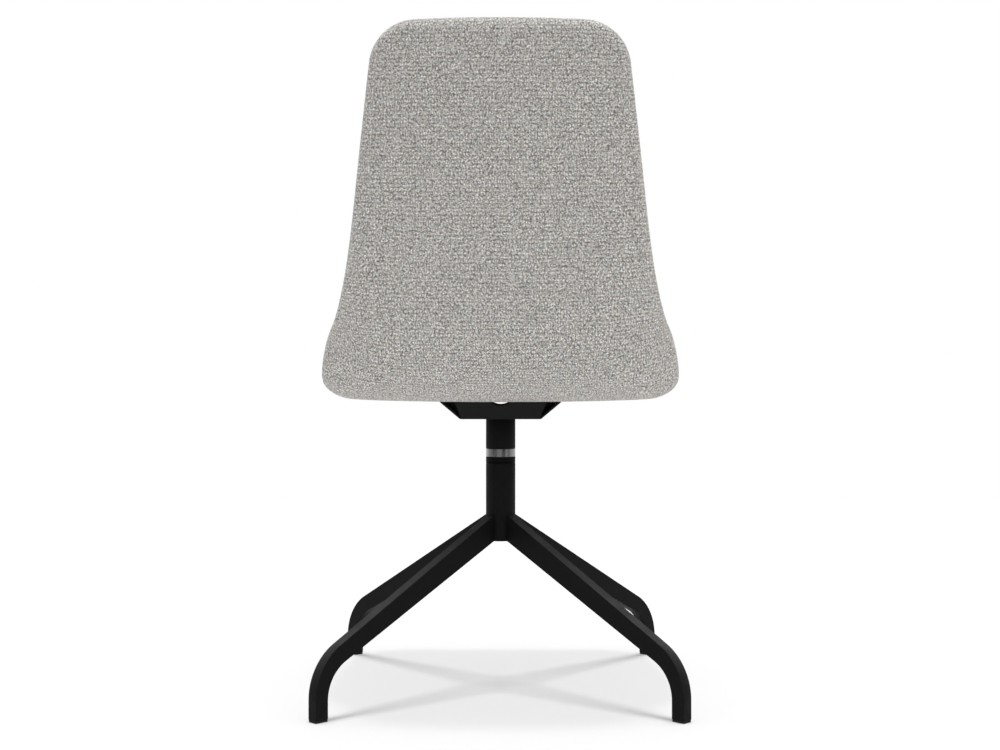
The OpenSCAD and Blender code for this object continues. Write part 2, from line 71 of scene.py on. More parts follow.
SEAT_BODY = "seat"
RUN_LAYER = "weave_run"
HOLD_LAYER = "hold"
CORNERS = ("front_left", "front_right", "rear_left", "rear_right")
LEGS = tuple(f"leg_{corner}" for corner in CORNERS)
GLIDES = tuple(f"glide_{corner}" for corner in CORNERS)
COLUMN_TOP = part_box("base_column")[1].z


class Side(Enum):
    """Side of the moulded core that a pad lies on."""

    REAR = -1
    FRONT = 1


class Slot(Enum):
    """Material slots of the record that the pieces wear here."""

    POWDER_COAT = "black_powder_coat"
    TURNED_STEEL = "turned_steel"
    ZINC_STEEL = "zinc_steel"
    SCREW_STEEL = "black_screw_steel"
    PLASTIC = "black_plastic"
    GLIDE = "glide_plastic"
    PLYWOOD = "moulded_plywood"
    WEAVE = "grey_weave"


def grey(level: float) -> Colour:
    """Return the neutral colour of a level."""
    return (level, level, level)


def add_object(name: str, data: bpy.types.ID) -> bpy.types.Object:
    """Return a new object in the scene, with its mesh, light or camera as data."""
    made = bpy.data.objects.new(name, data)
    bpy.context.scene.collection.objects.link(made)
    return made


def add_mesh_object(name: str, bm: bmesh.types.BMesh) -> bpy.types.Object:
    """Return a new object in the scene for a finished mesh, whose working copy is freed."""
    mesh = bpy.data.meshes.new(name)
    bm.to_mesh(mesh)
    bm.free()
    return add_object(name, mesh)


class NodeSheet:
    """A node tree that is filled node by node."""

    def __init__(self, tree: bpy.types.NodeTree) -> None:
        """Empty the tree.

        Args:
            tree: The node tree to fill.
        """
        self.tree = tree
        tree.nodes.clear()

    def add(self, kind: str, settings: dict | None = None, **inputs: object) -> bpy.types.Node:
        """Add a node, set its properties and feed its inputs.

        Args:
            kind: Type name of the node without its ShaderNode prefix.
            settings: Properties of the node itself.
            **inputs: What feed takes.

        Returns:
            The new node.
        """
        full = kind if kind.startswith("NodeGroup") else "ShaderNode" + kind
        node = self.tree.nodes.new(full)
        for name, value in (settings or {}).items():
            setattr(node, name, value)
        self.feed(node, **inputs)
        return node

    def feed(self, node: bpy.types.Node, **inputs: object) -> None:
        """Link inputs of a node to outputs, or give them constants.

        Args:
            node: The node.
            **inputs: Output sockets, numbers or tuples by input name, spaces written as underscores. A
                name such as in0 is an input's number.
        """
        for name, value in inputs.items():
            key = int(name[2:]) if name[:2] == "in" and name[2:].isdigit() else name.replace("_", " ")
            socket = node.inputs[key]
            if isinstance(value, bpy.types.NodeSocket):
                self.tree.links.new(value, socket)
            elif isinstance(value, tuple) and socket.type == "RGBA":
                socket.default_value = (*value, 1.0)
            else:
                socket.default_value = value

    def math(self, operation: str, *values: object) -> bpy.types.NodeSocket:
        """Add a Math node.

        Args:
            operation: Name of the operation.
            *values: Its inputs.

        Returns:
            The node's output.
        """
        inputs = {f"in{number}": value for number, value in enumerate(values)}
        return self.add("Math", {"operation": operation}, **inputs).outputs[0]

    def remap(self, value: object, low: float, high: float, to_low: float = 0.0, to_high: float = 1.0,
              smooth: bool = False) -> bpy.types.NodeSocket:
        """Add a Map Range node.

        Args:
            value: The socket to remap.
            low: Value that becomes to_low.
            high: Value that becomes to_high.
            to_low: Result at low.
            to_high: Result at high.
            smooth: Whether the ends are eased.

        Returns:
            The remapped value.
        """
        kind = {"interpolation_type": "SMOOTHSTEP" if smooth else "LINEAR"}
        return self.add("MapRange", kind, Value=value, From_Min=low, From_Max=high,
                        To_Min=to_low, To_Max=to_high).outputs[0]

    def blend(self, first: object, second: object, share: float) -> bpy.types.NodeSocket:
        """Return the sum of two values, the second one by its share and the first one by the rest."""
        return self.math("MULTIPLY_ADD", second, share, self.math("MULTIPLY", first, 1.0 - share))

    def mix(self, factor: object, first: object, second: object) -> bpy.types.NodeSocket:
        """Add a colour Mix node.

        Args:
            factor: Share of the second colour.
            first: First colour.
            second: Second colour.

        Returns:
            The mixed colour.
        """
        return self.add("Mix", {"data_type": "RGBA"}, in0=factor, in6=first, in7=second).outputs[2]

    def scaled(self, colour: object, factor: object) -> bpy.types.NodeSocket:
        """Return a colour multiplied by a number."""
        return self.add("VectorMath", {"operation": "SCALE"}, in0=colour, Scale=factor).outputs[0]

    def bump(self, height: object, distance: float, strength: float) -> bpy.types.NodeSocket:
        """Add a Bump node.

        Args:
            height: The height to follow.
            distance: Height of one unit, in metres.
            strength: How strongly it shows.

        Returns:
            The bumped normal.
        """
        return self.add("Bump", Height=height, Distance=distance, Strength=strength).outputs[0]

    def object_place(self) -> bpy.types.NodeSocket:
        """Return the object's own coordinates."""
        return self.add("TexCoord").outputs["Object"]


def node_group(name: str, place: str, values: tuple[str, ...], outputs: tuple[str, ...]
               ) -> tuple[NodeSheet, bpy.types.Node, bpy.types.Node]:
    """Start a shader node group.

    Args:
        name: Name of the group.
        place: Name of its vector input.
        values: Names of its number inputs.
        outputs: Names of its number outputs.

    Returns:
        The sheet to fill, its Group Input node and its Group Output node.
    """
    tree = bpy.data.node_groups.new(name, "ShaderNodeTree")
    sheet = NodeSheet(tree)
    sockets = [(place, "INPUT", "Vector")]
    sockets += [(value, "INPUT", "Float") for value in values]
    sockets += [(output, "OUTPUT", "Float") for output in outputs]
    for title, way, kind in sockets:
        tree.interface.new_socket(title, in_out=way, socket_type="NodeSocket" + kind)
    return sheet, sheet.add("NodeGroupInput"), sheet.add("NodeGroupOutput")


class EffectLibrary:
    """Node groups that the finishes use, each built at its first use."""

    @cached_property
    def fine_grain(self) -> bpy.types.NodeTree:
        """Build the grain of coated, cast or moulded surfaces.

        Returns:
            A group that puts out a height, a tone around one half and soft patches.
        """
        sheet, given, result = node_group(
            "fine_grain", "Vector", ("Grain Size", "Patch Size"), ("Height", "Tone", "Patches"))
        place = given.outputs["Vector"]
        grain_scale = sheet.math("DIVIDE", 1.0, given.outputs["Grain Size"])
        patch_scale = sheet.math("DIVIDE", 1.0, given.outputs["Patch Size"])
        pebbles = sheet.add("TexVoronoi", {"feature": "SMOOTH_F1"}, Vector=place, Scale=grain_scale,
                            Smoothness=0.6)
        dust = sheet.add("TexNoise", Vector=place, Scale=grain_scale, Detail=3.0).outputs[0]
        patches = sheet.add("TexNoise", Vector=place, Scale=patch_scale, Detail=4.0, Roughness=0.6)
        height = sheet.math("SUBTRACT", dust, pebbles.outputs["Distance"])
        sheet.feed(result, Height=height, Tone=dust, Patches=patches.outputs[0])
        return sheet.tree

    @cached_property
    def lathe_lines(self) -> bpy.types.NodeTree:
        """Build the fine lines that turning leaves round the Z axis.

        Returns:
            A group that puts out a height and a tone around one quarter.
        """
        sheet, given, result = node_group("lathe_lines", "Vector", ("Line Pitch",), ("Height", "Tone"))
        height = sheet.add("SeparateXYZ", in0=given.outputs["Vector"]).outputs[2]
        lines = sheet.math("DIVIDE", height, given.outputs["Line Pitch"])
        line_noise = {"noise_dimensions": "1D"}
        streak = sheet.add("TexNoise", line_noise, W=lines, Scale=1.0, Detail=3.0).outputs[0]
        broad = sheet.add("TexNoise", line_noise, W=lines, Scale=0.13, Detail=1.0).outputs[0]
        sheet.feed(result, Height=streak, Tone=sheet.math("MULTIPLY", streak, broad))
        return sheet.tree

    @cached_property
    def nubby_weave(self) -> bpy.types.NodeTree:
        """Build the basket weave of thick and thin yarn, in rows along the second coordinate.

        Returns:
            A group that puts out the height of the cloth, its nubs, the tones of its yarns, the grooves
            between the rows, the plies and fibres of the yarn and the soft mottling of the cloth.
        """
        sway_reach = (4 * MM, 2 * MM, 0.0)
        row_shift = 0.5
        nub_core, nub_edge = 0.08, 0.55
        row_middle, groove_start = 0.5, 0.24
        plies_in_nub = 3.6
        fibre_slant = 0.55
        yarn_rise, groove_rise, fibre_rise = 0.4, -0.5, 0.6

        sheet, given, result = node_group(
            "nubby_weave", "Run", ("Row Pitch", "Nub Pitch", "Looseness"),
            ("Height", "Nub", "Yarn", "Groove", "Ply", "Fibre", "Mottling"))
        run = given.outputs["Run"]
        sway = sheet.add("TexNoise", Vector=run, Scale=70.0, Detail=2.0)
        swayed = sheet.add("VectorMath", {"operation": "MULTIPLY_ADD"}, in0=sway.outputs["Color"],
                           in1=sway_reach, in2=run).outputs[0]
        split = sheet.add("SeparateXYZ", in0=swayed)
        row = sheet.math("DIVIDE", split.outputs[1], given.outputs["Row Pitch"])
        along = sheet.math("DIVIDE", split.outputs[0], given.outputs["Nub Pitch"])
        shift = sheet.add("TexWhiteNoise", {"noise_dimensions": "1D"}, W=sheet.math("FLOOR", row))
        shifted = sheet.math("MULTIPLY_ADD", shift.outputs[0], row_shift, along)
        placed = sheet.add("CombineXYZ", in0=shifted, in1=row).outputs[0]

        cells = {"voronoi_dimensions": "2D", "feature": "F1"}
        nubs = sheet.add("TexVoronoi", cells, Vector=placed, Scale=1.0,
                         Randomness=given.outputs["Looseness"])
        tone = sheet.add("SeparateColor", in0=nubs.outputs["Color"])
        nub = sheet.remap(nubs.outputs["Distance"], nub_core, nub_edge, 1.0, 0.0, smooth=True)
        middle = sheet.math("ABSOLUTE", sheet.math("SUBTRACT", sheet.math("FRACT", row), row_middle))
        groove = sheet.remap(middle, groove_start, row_middle, smooth=True)
        plies = sheet.add("TexVoronoi", cells, Vector=placed, Scale=plies_in_nub, Randomness=1.0)
        ply = sheet.add("SeparateColor", in0=plies.outputs["Color"]).outputs[0]
        slant = sheet.add("VectorRotate", {"rotation_type": "Z_AXIS"}, Vector=swayed, Angle=fibre_slant)
        fibre = sheet.add("TexNoise", Vector=slant.outputs[0], Scale=900.0, Detail=0.0).outputs[0]
        mottling = sheet.add("TexNoise", Vector=run, Scale=90.0, Detail=3.0, Roughness=0.6).outputs[0]

        raised = sheet.math("MULTIPLY_ADD", tone.outputs[1], yarn_rise, nub)
        sunk = sheet.math("MULTIPLY_ADD", groove, groove_rise, raised)
        height = sheet.math("MULTIPLY_ADD", fibre, fibre_rise, sunk)
        sheet.feed(result, Height=height, Nub=nub, Yarn=tone.outputs[0], Groove=groove, Ply=ply,
                   Fibre=fibre, Mottling=mottling)
        return sheet.tree


EFFECTS = EffectLibrary()


@dataclass(frozen=True)
class Finish:
    """A finish with its own material."""

    name: str
    slot: Slot

    @cached_property
    def material(self) -> bpy.types.Material:
        """Build the material at its first use."""
        material = bpy.data.materials.new(self.name)
        material.use_nodes = True
        sheet = NodeSheet(material.node_tree)
        shader = sheet.add("BsdfPrincipled")
        sheet.add("OutputMaterial", Surface=shader.outputs[0])
        self.dress(sheet, shader)
        return material

    def dress(self, sheet: NodeSheet, shader: bpy.types.Node) -> None:
        """Feed the shader.

        Args:
            sheet: The material's sheet.
            shader: Its Principled BSDF.
        """
        raise NotImplementedError


@dataclass(frozen=True)
class Grained(Finish):
    """A painted or moulded finish with a fine grain and soft patches.

    It can have scuffs up to scuff_height over the floor, and painted shade: a darker band between two heights
    for the shadow in a groove.
    """

    dark: Colour = (0.0012, 0.0012, 0.0013)
    light: Colour = (0.003, 0.003, 0.0032)
    patch_share: float = 0.5
    roughness: float = 0.62
    rough_spread: float = 0.06
    specular: float = 0.12
    grain: float = 0.7 * MM
    patch: float = 30 * MM
    depth: float = 0.04 * MM
    bump_strength: float = 0.6
    scuff_height: float = 0.0
    scuff_grey: float = 0.12
    scuff_share: float = 0.35
    scuff_rough: float = 0.15
    # Heights between which the colour is darkened: painted shade for the shadow in a groove.
    groove: tuple[float, float] | None = None
    painted_groove_shade: float = 0.0002

    def dress(self, sheet: NodeSheet, shader: bpy.types.Node) -> None:
        """Feed the shader with the grain."""
        place = sheet.object_place()
        grain = sheet.add("Group", {"node_tree": EFFECTS.fine_grain}, Vector=place,
                          Grain_Size=self.grain, Patch_Size=self.patch).outputs
        tone = sheet.blend(grain["Tone"], grain["Patches"], self.patch_share)
        colour = sheet.mix(sheet.remap(tone, NOISE_LOW, NOISE_HIGH), self.dark, self.light)
        rough = sheet.remap(grain["Patches"], NOISE_LOW, NOISE_HIGH,
                            self.roughness - self.rough_spread, self.roughness + self.rough_spread)
        height = sheet.add("SeparateXYZ", in0=place).outputs[2]
        if self.scuff_height > 0.0:
            low = sheet.remap(height, 0.0, self.scuff_height, 1.0, 0.0, smooth=True)
            scuff = sheet.add("TexNoise", Vector=place, Scale=600.0, Detail=4.0, Roughness=0.7)
            worn = sheet.math("MULTIPLY", low, sheet.remap(scuff.outputs[0], low=0.56, high=0.66))
            colour = sheet.mix(sheet.math("MULTIPLY", worn, self.scuff_share), colour, grey(self.scuff_grey))
            rough = sheet.math("MULTIPLY_ADD", worn, self.scuff_rough, rough)
        # Painted shade: between the groove's two heights the colour turns nearly black, for the shadow that
        # falls there.
        if self.groove:
            over = sheet.math("GREATER_THAN", height, self.groove[0])
            under = sheet.math("LESS_THAN", height, self.groove[1])
            colour = sheet.mix(sheet.math("MULTIPLY", over, under), colour, grey(self.painted_groove_shade))
        sheet.feed(shader, Base_Color=colour, Roughness=rough, Specular_IOR_Level=self.specular,
                   Normal=sheet.bump(grain["Height"], self.depth, self.bump_strength))


@dataclass(frozen=True)
class Turned(Finish):
    """Bare or plated steel, turned on a lathe."""

    colour: Colour = (0.50, 0.50, 0.49)
    roughness: float = 0.11
    rough_spread: float = 0.006
    pitch: float = 0.3 * MM
    depth: float = 0.02 * MM
    bump_strength: float = 0.1
    grain: float = 0.4 * MM
    patch: float = 12 * MM

    def dress(self, sheet: NodeSheet, shader: bpy.types.Node) -> None:
        """Feed the shader with turned metal."""
        place = sheet.object_place()
        lines = sheet.add("Group", {"node_tree": EFFECTS.lathe_lines}, Vector=place,
                          Line_Pitch=self.pitch).outputs
        grain = sheet.add("Group", {"node_tree": EFFECTS.fine_grain}, Vector=place,
                          Grain_Size=self.grain, Patch_Size=self.patch).outputs
        shade = sheet.remap(lines["Tone"], low=0.1, high=0.4, to_low=0.93, to_high=1.03)
        dirt = sheet.remap(grain["Patches"], low=0.35, high=0.75, to_low=1.0, to_high=0.97)
        toned = sheet.scaled(self.colour, sheet.math("MULTIPLY", shade, dirt))
        rough = sheet.remap(grain["Patches"], NOISE_LOW, NOISE_HIGH,
                            self.roughness - self.rough_spread, self.roughness + self.rough_spread)
        sheet.feed(shader, Base_Color=toned, Metallic=1.0, Roughness=rough,
                   Normal=sheet.bump(lines["Height"], self.depth, self.bump_strength))


@dataclass(frozen=True)
class BeechPly(Finish):
    """Moulded beech plywood whose fibres run along the seat and up the back."""

    pale: Colour = (0.62, 0.47, 0.31)
    deep: Colour = (0.43, 0.29, 0.17)
    fibre_scale: tuple[float, float, float] = (160.0, 12.0, 12.0)
    fleck_share: float = 0.35
    depth: float = 0.1 * MM
    bump_strength: float = 0.5

    def dress(self, sheet: NodeSheet, shader: bpy.types.Node) -> None:
        """Feed the shader with wood grain."""
        place = sheet.object_place()
        stretched = sheet.add("Mapping", Vector=place, Scale=self.fibre_scale).outputs[0]
        fibres = sheet.add("TexNoise", Vector=stretched, Scale=1.0, Detail=5.0, Roughness=0.6).outputs[0]
        flecks = sheet.add("TexNoise", Vector=place, Scale=700.0, Detail=2.0).outputs[0]
        tone = sheet.blend(fibres, flecks, self.fleck_share)
        colour = sheet.mix(sheet.remap(tone, low=0.35, high=0.65), self.pale, self.deep)
        sheet.feed(shader, Base_Color=colour, Roughness=0.6,
                   Normal=sheet.bump(tone, self.depth, self.bump_strength))


@dataclass(frozen=True)
class Shade:
    """How far one output of the weave lightens the yarn, measured from that output's middle."""

    output: str
    share: float
    middle: float = 0.5


@dataclass(frozen=True)
class NubbyCloth(Finish):
    """Warm light grey basket weave of thick and thin yarn, which follows the run of the cloth."""

    cloth: Colour = (0.403, 0.393, 0.379)
    taupe: Colour = (0.387, 0.367, 0.346)
    row_pitch: float = 4.84 * MM
    nub_pitch: float = 3.4 * MM
    looseness: float = 0.52
    relief: float = 0.6 * MM
    bump_strength: float = 0.7
    base_tone: float = 1.495
    darkest: float = 0.15
    # Groove darkens the yarn in the sunk grooves between the rows, following the relief: painted shade.
    shades: tuple[Shade, ...] = (
        Shade("Nub", 0.8, middle=0.45), Shade("Yarn", 0.15), Shade("Groove", -0.2, middle=0.25),
        Shade("Ply", 1.52), Shade("Fibre", 4.05), Shade("Mottling", 0.2))

    def dress(self, sheet: NodeSheet, shader: bpy.types.Node) -> None:
        """Feed the shader with the weave."""
        run = sheet.add("Attribute", {"attribute_name": RUN_LAYER, "attribute_type": "GEOMETRY"})
        weave = sheet.add("Group", {"node_tree": EFFECTS.nubby_weave}, Run=run.outputs["Vector"],
                          Row_Pitch=self.row_pitch, Nub_Pitch=self.nub_pitch,
                          Looseness=self.looseness).outputs
        tone = self.base_tone
        for shade in self.shades:
            around = sheet.math("SUBTRACT", weave[shade.output], shade.middle)
            tone = sheet.math("MULTIPLY_ADD", around, shade.share, tone)
        tone = sheet.math("MAXIMUM", tone, self.darkest)
        yarn = sheet.mix(sheet.remap(weave["Mottling"], low=0.42, high=0.62), self.cloth, self.taupe)
        sheet.feed(shader, Base_Color=sheet.scaled(yarn, tone), Roughness=0.92, Specular_IOR_Level=0.1,
                   Sheen_Weight=0.05, Sheen_Roughness=0.5,
                   Normal=sheet.bump(weave["Height"], self.relief, self.bump_strength))


POWDER_COAT = Grained("textured_powder_coat", Slot.POWDER_COAT, scuff_height=12 * MM)
# Painted light: the black powder coat again, with lighter colours, for the light that falls on the seat
# bracket's flanges.
PAINTED_LIGHT_COAT = Grained(
    "powder_coat_painted_light", Slot.POWDER_COAT, dark=(0.0075, 0.0075, 0.0076), light=(0.0125, 0.0125, 0.0127))
# Painted shade: a band about 3 mm high at the column's top, where the groove under the upper bush's rim is,
# is darkened for the shadow in that groove.
BLACK_NYLON = Grained(
    "satin_black_nylon", Slot.PLASTIC, dark=(0.003, 0.003, 0.0031), light=(0.005, 0.005, 0.0051),
    roughness=0.52, specular=0.06, grain=1.2 * MM, depth=0.02 * MM,
    groove=(COLUMN_TOP - 0.5 * MM, COLUMN_TOP + 2.6 * MM))
GLIDE_PLASTIC = Grained(
    "worn_glide_plastic", Slot.GLIDE, dark=(0.008, 0.008, 0.0085), light=(0.016, 0.016, 0.017),
    roughness=0.6, grain=1 * MM, depth=0.03 * MM, scuff_height=3 * MM)
SCREW_STEEL = Grained(
    "blackened_screw_steel", Slot.SCREW_STEEL, dark=(0.03, 0.03, 0.032), light=(0.06, 0.06, 0.063),
    roughness=0.35, specular=0.6, grain=0.3 * MM, depth=0.01 * MM)
BARE_STEEL = Turned("bright_turned_steel", Slot.TURNED_STEEL)
ZINC_STEEL = Turned(
    "zinc_plated_steel", Slot.ZINC_STEEL, colour=(0.58, 0.58, 0.57), roughness=0.35, pitch=0.5 * MM)
BEECH_PLY = BeechPly("moulded_beech_ply", Slot.PLYWOOD)
GREY_WEAVE = NubbyCloth("nubby_grey_cloth", Slot.WEAVE)


def eased(stations: tuple[float, ...], values: tuple[float, ...], at: np.ndarray) -> np.ndarray:
    """Read a smooth curve through values at stations.

    Args:
        stations: Rising places of the values.
        values: The values there.
        at: Places to read.

    Returns:
        The curve's values at those places.
    """
    stations, values = np.array(stations, float), np.array(values, float)
    last = len(stations) - 1
    before = np.maximum(np.arange(last + 1) - 1, 0)
    after = np.minimum(np.arange(last + 1) + 1, last)
    slopes = (values[after] - values[before]) / (stations[after] - stations[before])
    at = np.clip(at, stations[0], stations[-1])
    cell = np.clip(np.searchsorted(stations, at, side="right") - 1, 0, last - 1)
    width = stations[cell + 1] - stations[cell]
    share = (at - stations[cell]) / width
    rise = values[cell + 1] - values[cell]
    leave, arrive = slopes[cell] * width, slopes[cell + 1] * width
    square, cube = 3 * rise - 2 * leave - arrive, leave + arrive - 2 * rise
    return values[cell] + share * (leave + share * (square + share * cube))


@dataclass(frozen=True)
class ShellForm:
    """Middle surface of the moulded core.

    A place on it is a run along the seat and back from the front edge, a run across from the middle
    towards a side, and a height towards the sitter.
    """

    core_top_z: float
    core: float = 10 * MM
    seat_front: float = 252 * MM
    bend_y: float = 66 * MM
    bend_r: float = 105 * MM
    bend_ease: float = 22 * MM
    ease_reads: int = 11
    recline: float = math.radians(12)
    back_len: float = 374 * MM
    front_rise: float = 12 * MM
    rise_len: float = 216 * MM
    nose_drop: float = 14 * MM
    nose_len: float = 80 * MM
    half_widths: tuple[float, ...] = (0.205, 0.2285, 0.2297, 0.2113, 0.1919, 0.173, 0.1526)
    edge_angles: tuple[float, ...] = (26, 56, 60.5, 57.5, 31, 24, 10)
    wing_r: float = 50 * MM
    wing_shares: tuple[float, ...] = (1.8, 0.915, 1.005, 2.7, 3.1, 4.2, 4.6)
    seat_dish_r: float = 6.0
    back_dish_r: float = 0.7
    dish_shares: tuple[float, ...] = (0, 0, 0.03, 0.4, 0.85, 1, 1)
    station_shares: tuple[float, ...] = (0, 0.19, 0.385, 0.523, 0.64, 0.81, 1)
    front_corner_r: float = 75 * MM
    top_corner_r: float = 54 * MM
    top_arch: float = 2.3 * MM
    crown_w: float = 110 * MM
    crown_power: float = 2.25
    crown_stations: tuple[float, ...] = (0, 0.12, 0.35, 0.55, 0.7, 1)
    crowns: tuple[float, ...] = (0.0288, 0.036, 0.036, 0.0156, 0.012, 0.0084)

    @property
    def bend_angle(self) -> float:
        """Angle that the shell turns through between seat and back."""
        return math.pi / 2 - self.recline

    @property
    def seat_run(self) -> float:
        """Run from the front edge to the bend."""
        return self.seat_front + self.bend_y

    @property
    def bend_run(self) -> float:
        """Run along the bend."""
        return self.bend_r * self.bend_angle

    @property
    def run(self) -> float:
        """Whole run from the front edge to the top."""
        return self.seat_run + self.bend_run + self.back_len

    @property
    def middle_z(self) -> float:
        """Height of the core's middle surface over the swivel."""
        return self.core_top_z - self.core / 2

    def centre(self, along: np.ndarray) -> tuple[np.ndarray, ...]:
        """Find the centre line.

        Args:
            along: Runs from the front edge.

        Returns:
            Depth, height and slope angle at each run.
        """
        rise = np.maximum(self.rise_len - along, 0) / self.rise_len
        nose = np.maximum(self.nose_len - along, 0) / self.nose_len
        seat = (along - self.seat_front,
                self.middle_z + self.front_rise * rise * rise - self.nose_drop * nose * nose,
                np.arctan(2 * self.nose_drop * nose / self.nose_len
                          - 2 * self.front_rise * rise / self.rise_len))
        turned = np.clip((along - self.seat_run) / self.bend_r, 0, self.bend_angle)
        up_back = np.maximum(along - self.seat_run - self.bend_run, 0)
        back = (self.bend_y + self.bend_r * np.sin(turned) + up_back * math.cos(self.bend_angle),
                self.middle_z + self.bend_r * (1 - np.cos(turned)) + up_back * math.sin(self.bend_angle),
                turned)
        on_seat = along < self.seat_run
        return tuple(np.where(on_seat, before, after) for before, after in zip(seat, back))

    def eased_centre(self, along: np.ndarray) -> tuple[np.ndarray, ...]:
        """Find the centre line with the bend's curvature let in gently, so that the wings show no corner.

        Args:
            along: Runs from the front edge.

        Returns:
            Depth, height and slope angle at each run.
        """
        shifts = np.linspace(-self.bend_ease, self.bend_ease, self.ease_reads)
        reads = [self.centre(along + shift) for shift in shifts]
        return tuple(np.mean(part, axis=0) for part in zip(*reads))

    def section(self, along: np.ndarray) -> tuple[np.ndarray, ...]:
        """Find the cross section at a run.

        Args:
            along: Runs from the front edge.

        Returns:
            Wing radius, dish radius, angle where the wing starts and half run of the section.
        """
        at = along / self.run
        half = eased(self.station_shares, self.half_widths, at)
        edge = np.radians(eased(self.station_shares, self.edge_angles, at))
        wing = self.wing_r * eased(self.station_shares, self.wing_shares, at)
        share = eased(self.station_shares, self.dish_shares, at)
        dish = 1 / ((1 - share) / self.seat_dish_r + share / self.back_dish_r)
        start = np.arcsin((half - wing * np.sin(edge)) / (dish - wing))
        return wing, dish, start, dish * start + wing * (edge - start)

    def corner_cut(self, from_end: np.ndarray, radius: float) -> np.ndarray:
        """Return how far a rounded corner cuts in at a distance from the end."""
        rest = radius - np.clip(from_end, 0, radius)
        return radius - np.sqrt(np.maximum(radius * radius - rest * rest, 0))

    def outline_half(self, along: np.ndarray, inset: float = 0.0) -> np.ndarray:
        """Find the half run inside the rounded corners.

        Args:
            along: Runs from the front edge.
            inset: How far the outline is drawn in.

        Returns:
            Half run at each run.
        """
        full = self.section(along)[3] - inset
        return (full - self.corner_cut(along - inset, self.front_corner_r - inset)
                - self.corner_cut(self.run - inset - along, self.top_corner_r - inset))

    def reach(self, along: np.ndarray, across: np.ndarray) -> np.ndarray:
        """Find the distance to the outline.

        Args:
            along: Runs from the front edge.
            across: Runs from the middle.

        Returns:
            Distance to the outline at each place.
        """
        side = self.section(along)[3] - np.abs(across)
        found = np.full(along.shape, np.inf)
        for from_end, radius in ((along, self.front_corner_r), (self.run - along, self.top_corner_r)):
            cornered = (from_end < radius) & (side < radius)
            round_in = radius - np.hypot(radius - from_end, radius - side)
            found = np.minimum(found, np.where(cornered, round_in, np.minimum(from_end, side)))
        return np.maximum(found, 0)

    def crown(self, along: np.ndarray, reach: np.ndarray | float) -> np.ndarray:
        """Return the extra height of the sitter's side at a distance from the edge."""
        fall = 1 - np.clip(reach / self.crown_w, 0, 1)
        full = np.maximum(eased(self.crown_stations, self.crowns, along / self.run), 0)
        return full * (1 - fall ** self.crown_power)

    def place(self, flat: np.ndarray) -> np.ndarray:
        """Bend a flat pattern into the shell's shape.

        Args:
            flat: Points as run across, run along and height.

        Returns:
            The same points in the chair's frame.
        """
        across, along, height = flat[:, 0], flat[:, 1], flat[:, 2]
        aside = np.abs(across)
        share = np.clip(aside / np.maximum(self.outline_half(along), MM), 0, 1)
        arched = along - self.top_arch * share ** 2 * np.maximum(2 * along / self.run - 1, 0) ** 3
        y, z, slope = self.eased_centre(arched)
        wing, dish, start, _ = self.section(along)
        turned = np.where(aside > dish * start, start + (aside - dish * start) / wing, aside / dish)
        inner = np.minimum(turned, start)
        out = dish * np.sin(inner) + wing * (np.sin(turned) - np.sin(inner)) - height * np.sin(turned)
        up = dish * (1 - np.cos(inner)) + wing * (np.cos(inner) - np.cos(turned)) + height * np.cos(turned)
        return np.stack([np.sign(across) * out, y - np.sin(slope) * up, z + np.cos(slope) * up], axis=1)


class Skin:
    """Mesh of a pad while it grows, with the run of its cloth and how firmly it is held."""

    def __init__(self) -> None:
        """Start an empty mesh with its layers."""
        self.bm = bmesh.new()
        self.hold = self.bm.verts.layers.float.new(HOLD_LAYER)
        self.run = self.bm.verts.layers.float_vector.new(RUN_LAYER)
        self.number = self.bm.verts.layers.int.new("number")
        self.rim: list[bmesh.types.BMEdge] = []

    def open_rim(self) -> np.ndarray:
        """Find the mesh's open edge and number its vertices.

        Returns:
            Their places in the flat pattern, by number.
        """
        self.rim = [edge for edge in self.bm.edges if edge.is_boundary]
        verts = list({vert for edge in self.rim for vert in edge.verts})
        for number, vert in enumerate(verts):
            vert[self.number] = number
        return np.array([vert.co[:2] for vert in verts])

    def grow(self, flat: np.ndarray, height: np.ndarray, hold: float,
             runs: np.ndarray | None = None) -> None:
        """Extrude the open edge by one ring, whose vertices keep their numbers.

        Args:
            flat: Where the ring goes in the flat pattern, by number.
            height: Its heights, by number.
            hold: How firmly it is held.
            runs: Its run of the cloth, by number. Without it the ring keeps the last one's.
        """
        made = bmesh.ops.extrude_edge_only(self.bm, edges=self.rim)["geom"]
        self.rim = [part for part in made if isinstance(part, bmesh.types.BMEdge) and part.is_boundary]
        for vert in {vert for edge in self.rim for vert in edge.verts}:
            number = vert[self.number]
            vert.co = (*flat[number], height[number])
            vert[self.hold] = hold
            if runs is not None:
                vert[self.run] = (*runs[number], 0.0)

    def sort(self) -> None:
        """Put the mesh's parts in the order of their places, so that its cloth settles the same each run."""
        for parts in (self.bm.verts, self.bm.edges, self.bm.faces):
            for number, part in enumerate(sorted(parts, key=self._sort_key)):
                part.index = number
            parts.sort()

    @staticmethod
    def _sort_key(part: bmesh.types.BMVert | bmesh.types.BMEdge | bmesh.types.BMFace) -> tuple:
        """Return the place of a vertex, or the numbers of the vertices of an edge or a face."""
        if isinstance(part, bmesh.types.BMVert):
            return tuple(part.co)
        return tuple(sorted(vert.index for vert in part.verts))


